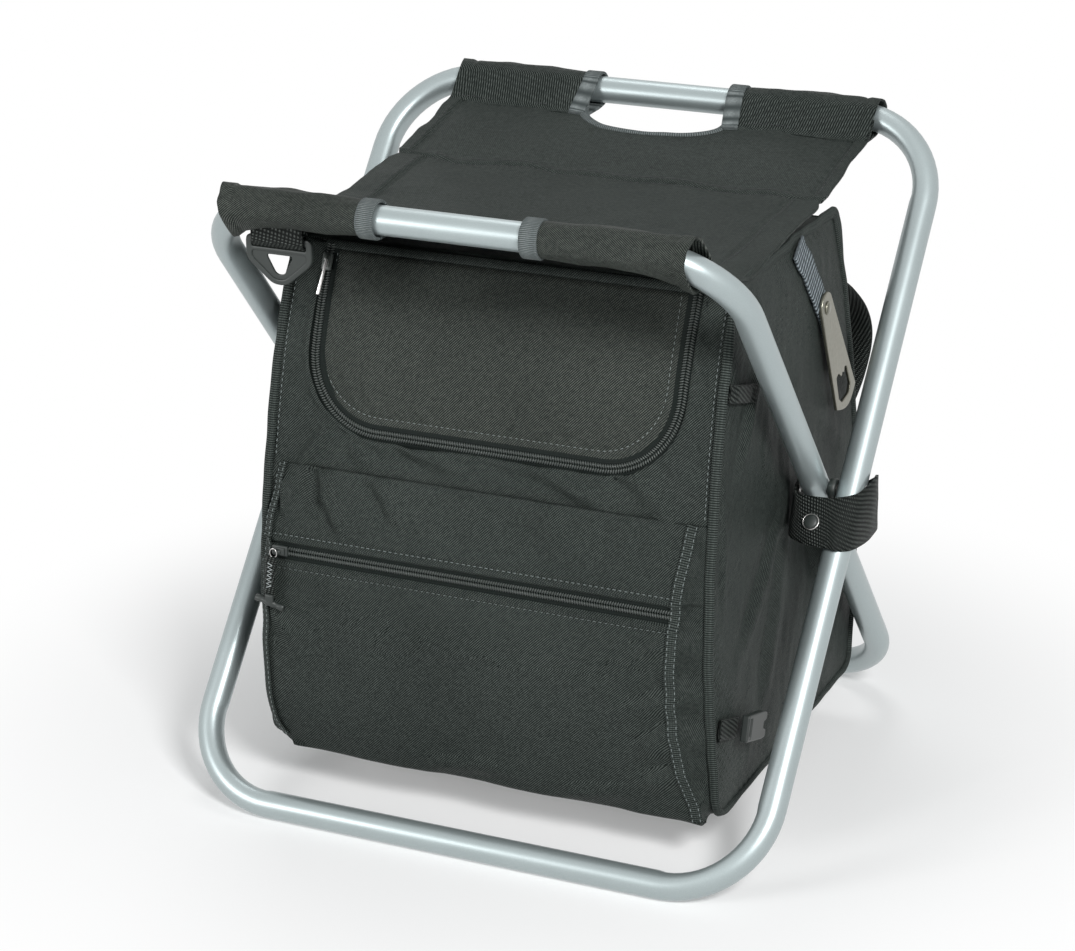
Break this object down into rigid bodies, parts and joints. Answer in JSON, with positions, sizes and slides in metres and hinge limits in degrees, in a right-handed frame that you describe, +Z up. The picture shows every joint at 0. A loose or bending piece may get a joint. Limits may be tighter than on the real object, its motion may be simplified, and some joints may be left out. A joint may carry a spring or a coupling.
{
  "type": "folding cooler stool",
  "caption": "Folding stool of two crossed tube loops with a cloth seat, carrying a zipped insulated cooler bag with a front pocket, pivot straps and a bottle opener.",
  "frame": {"origin": "on the floor under the middle of the stool, half way between the two seat rails and the two sides", "axes": "+Z up, +X to the right when facing the pocket, +Y from the pocket side to the strap side"},
  "size_m": [0.4512, 0.3898, 0.4461],
  "materials": {
    "frame_paint": "satin silver paint",
    "rivet_steel": "satin",
    "nickel": "warm satin nickel",
    "plastic_dark": "moulded, satin",
    "cloth_black": "fine twill, slight sheen",
    "binding_black": "ribbed tape",
    "tape_grey": "fine ribbed tape",
    "webbing_black": "coarse woven",
    "webbing_grey": "ribbed, slight sheen",
    "zip_black": "coil, satin",
    "foam_white": "closed cell foam, matte",
    "liner_grey": "heat-sealed film, satin"
  },
  "bodies": {
    "outer_frame": {"outer_frame_tube": "frame_paint", "pivot_rivet_left": "rivet_steel", "pivot_rivet_right": "rivet_steel", "pivot_spacer_left": "plastic_dark", "pivot_spacer_right": "plastic_dark", "rear_sleeve_left": "cloth_black", "rear_sleeve_right": "cloth_black", "rear_ring_left": "tape_grey", "rear_ring_right": "tape_grey", "rear_handle_tape": "tape_grey", "seat_panel": "cloth_black"},
    "inner_frame": {"inner_frame_tube": "frame_paint", "front_sleeve_left": "cloth_black", "front_sleeve_right": "cloth_black", "front_ring_left": "tape_grey", "front_ring_right": "tape_grey", "front_handle_tape": "tape_grey", "strap_ring_tab": "webbing_black"},
    "strap_ring_body": {"strap_ring": "plastic_dark"},
    "flap": {"bag_flap": "cloth_black"},
    "flap_slider": {"flap_zip_slider": "zip_black"},
    "flap_pull": {"flap_zip_pull": "nickel"},
    "pocket_slider": {"pocket_zip_slider": "zip_black"},
    "pocket_pull": {"pocket_pull_webbing": "webbing_black", "pocket_pull_toggle": "plastic_dark"},
    "opener": {"bottle_opener": "nickel"},
    "bag": {"bag_front_panel": "cloth_black", "bag_rear_panel": "cloth_black", "bag_top_panel": "cloth_black", "bag_bottom_panel": "cloth_black", "bag_side_left": "cloth_black", "bag_side_right": "cloth_black", "side_seam_left": "binding_black", "side_seam_right": "binding_black", "foam_insulation": "foam_white", "inner_liner": "liner_grey", "flap_zip_chain": "zip_black", "front_pocket": "cloth_black", "pocket_zip_chain": "zip_black", "pocket_binding_left": "binding_black", "pocket_binding_right": "binding_black", "pivot_strap_left": "webbing_black", "pivot_strap_right": "webbing_black", "press_stud_left": "nickel", "press_stud_right": "nickel", "carry_strap_left": "webbing_black", "carry_strap_right": "webbing_black", "side_tab_left": "webbing_black", "side_tab_right": "webbing_black", "buckle_webbing_left": "webbing_black", "buckle_webbing_right": "webbing_black", "buckle_half_left": "plastic_dark", "buckle_half_right": "plastic_dark", "opener_webbing": "webbing_grey", "opener_rivet": "rivet_steel"}
  },
  "joints": [
    {"name": "fold", "type": "hinge", "parent": "outer_frame", "child": "inner_frame", "pos_m": [0, 0, 0.22503], "axis": [-1, 0, 0], "range_deg": [0, 75], "deforming": ["seat_panel", "rear_handle_tape", "front_handle_tape"]},
    {"name": "bag_follow", "type": "hinge", "parent": "outer_frame", "child": "bag", "pos_m": [0, 0, 0.22503], "axis": [-1, 0, 0], "range_deg": [0, 37.5]},
    {"name": "flap_hinge", "type": "hinge", "parent": "bag", "child": "flap", "pos_m": [0, -0.09388, 0.378], "axis": [-1, 0, 0], "range_deg": [0, 60]},
    {"name": "flap_zip_slide", "type": "slide", "parent": "bag", "child": "flap_slider", "axis": [0, -0.4343, -0.9008], "range_m": [0, 0.04]},
    {"name": "flap_pull_swing", "type": "hinge", "parent": "flap_slider", "child": "flap_pull", "pos_m": [-0.1305, -0.10613, 0.37], "axis": [-1, 0, 0], "range_deg": [0, 80]},
    {"name": "pocket_zip_slide", "type": "slide", "parent": "bag", "child": "pocket_slider", "axis": [1, 0, 0], "range_m": [0, 0.25]},
    {"name": "pocket_pull_swing", "type": "hinge", "parent": "pocket_slider", "child": "pocket_pull", "pos_m": [-0.13, -0.1652, 0.186], "axis": [-1, 0, 0], "range_deg": [0, 60]},
    {"name": "opener_swing", "type": "hinge", "parent": "bag", "child": "opener", "pos_m": [0.1645, 0.06, 0.33], "axis": [1, 0, 0], "range_deg": [-20, 30]},
    {"name": "strap_ring_swing", "type": "hinge", "parent": "inner_frame", "child": "strap_ring_body", "pos_m": [-0.129, -0.16482, 0.40555], "axis": [-1, 0, 0], "range_deg": [-20, 60]}
  ],
  "couplings": [
    {"joint": "bag_follow", "follows": "fold", "ratio": 0.5}
  ]
}
